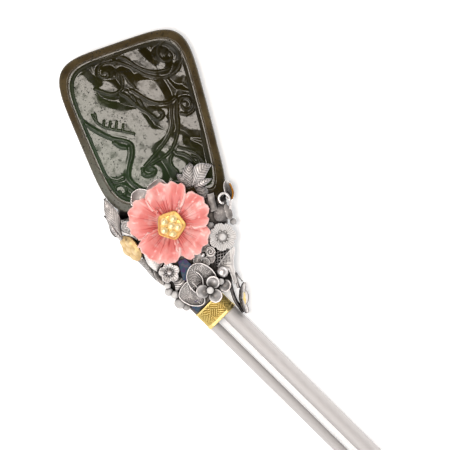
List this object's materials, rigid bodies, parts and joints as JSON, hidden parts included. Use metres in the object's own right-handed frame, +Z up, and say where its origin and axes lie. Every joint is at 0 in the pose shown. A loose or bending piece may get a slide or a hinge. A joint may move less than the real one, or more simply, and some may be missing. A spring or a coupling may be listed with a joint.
{
  "type": "binyeo hairpin",
  "caption": "Two-pronged Korean ornamental hairpin: a carved dark jade plaque in a darkened silver mount of leaves and flowers, with a coral flower and a gold collar.",
  "frame": {"origin": "middle of the bounding box, on the surface that it lies on, with the carved face up", "axes": "+Y along the prongs from the tips to the head, +X across the prongs to the side the head leans to, +Z up out of the carved face"},
  "size_m": [0.0492, 0.162, 0.0102],
  "materials": {
    "jade": "polished dark olive-green jade",
    "silver": "silver, darkened in the recesses",
    "prong_silver": "satin silver",
    "coral": "carved coral, semi-gloss",
    "gold": "hammered bright gold",
    "shell": "iridescent shell"
  },
  "bodies": {
    "root": {"jade_plaque": "jade", "silver_mount": "silver", "coral_flower": "coral", "coral_flower_center": "gold", "gold_flower": "gold", "side_flower_center": "gold", "shell_inlay_large": "shell", "shell_inlay_small": "shell", "gold_collar": "gold", "wide_prong": "prong_silver", "slim_prong": "prong_silver"}
  },
  "joints": []
}
